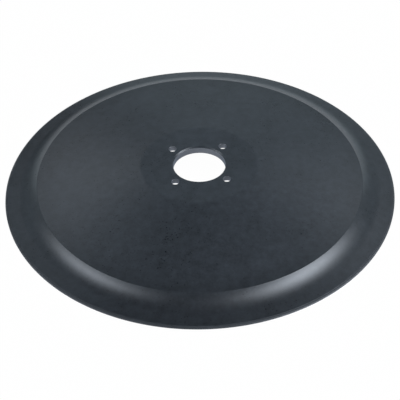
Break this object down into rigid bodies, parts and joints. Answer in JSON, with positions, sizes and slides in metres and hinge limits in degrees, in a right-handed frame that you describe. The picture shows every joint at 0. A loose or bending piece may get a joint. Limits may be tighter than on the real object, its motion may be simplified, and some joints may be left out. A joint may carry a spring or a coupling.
{
  "type": "food slicer blade",
  "caption": "Dished circular steel slicing blade with a hollow-ground bevel, flat mounting hub, central bore and countersunk screw holes, in a dark non-stick coating.",
  "frame": {"origin": "centre of the cutting circle, in the plane of the cutting edge, on which the blade lies", "axes": "+Z along the bore, out of the mounting face of the hub; X and Y lie half way between neighbouring screw holes"},
  "size_m": [0.3, 0.3, 0.0225],
  "materials": {
    "coated_steel": "satin dark grey non-stick coating over ground steel, bare in the bore, in the screw holes and along the edge"
  },
  "bodies": {
    "root": {"blade": "coated_steel"}
  },
  "joints": []
}
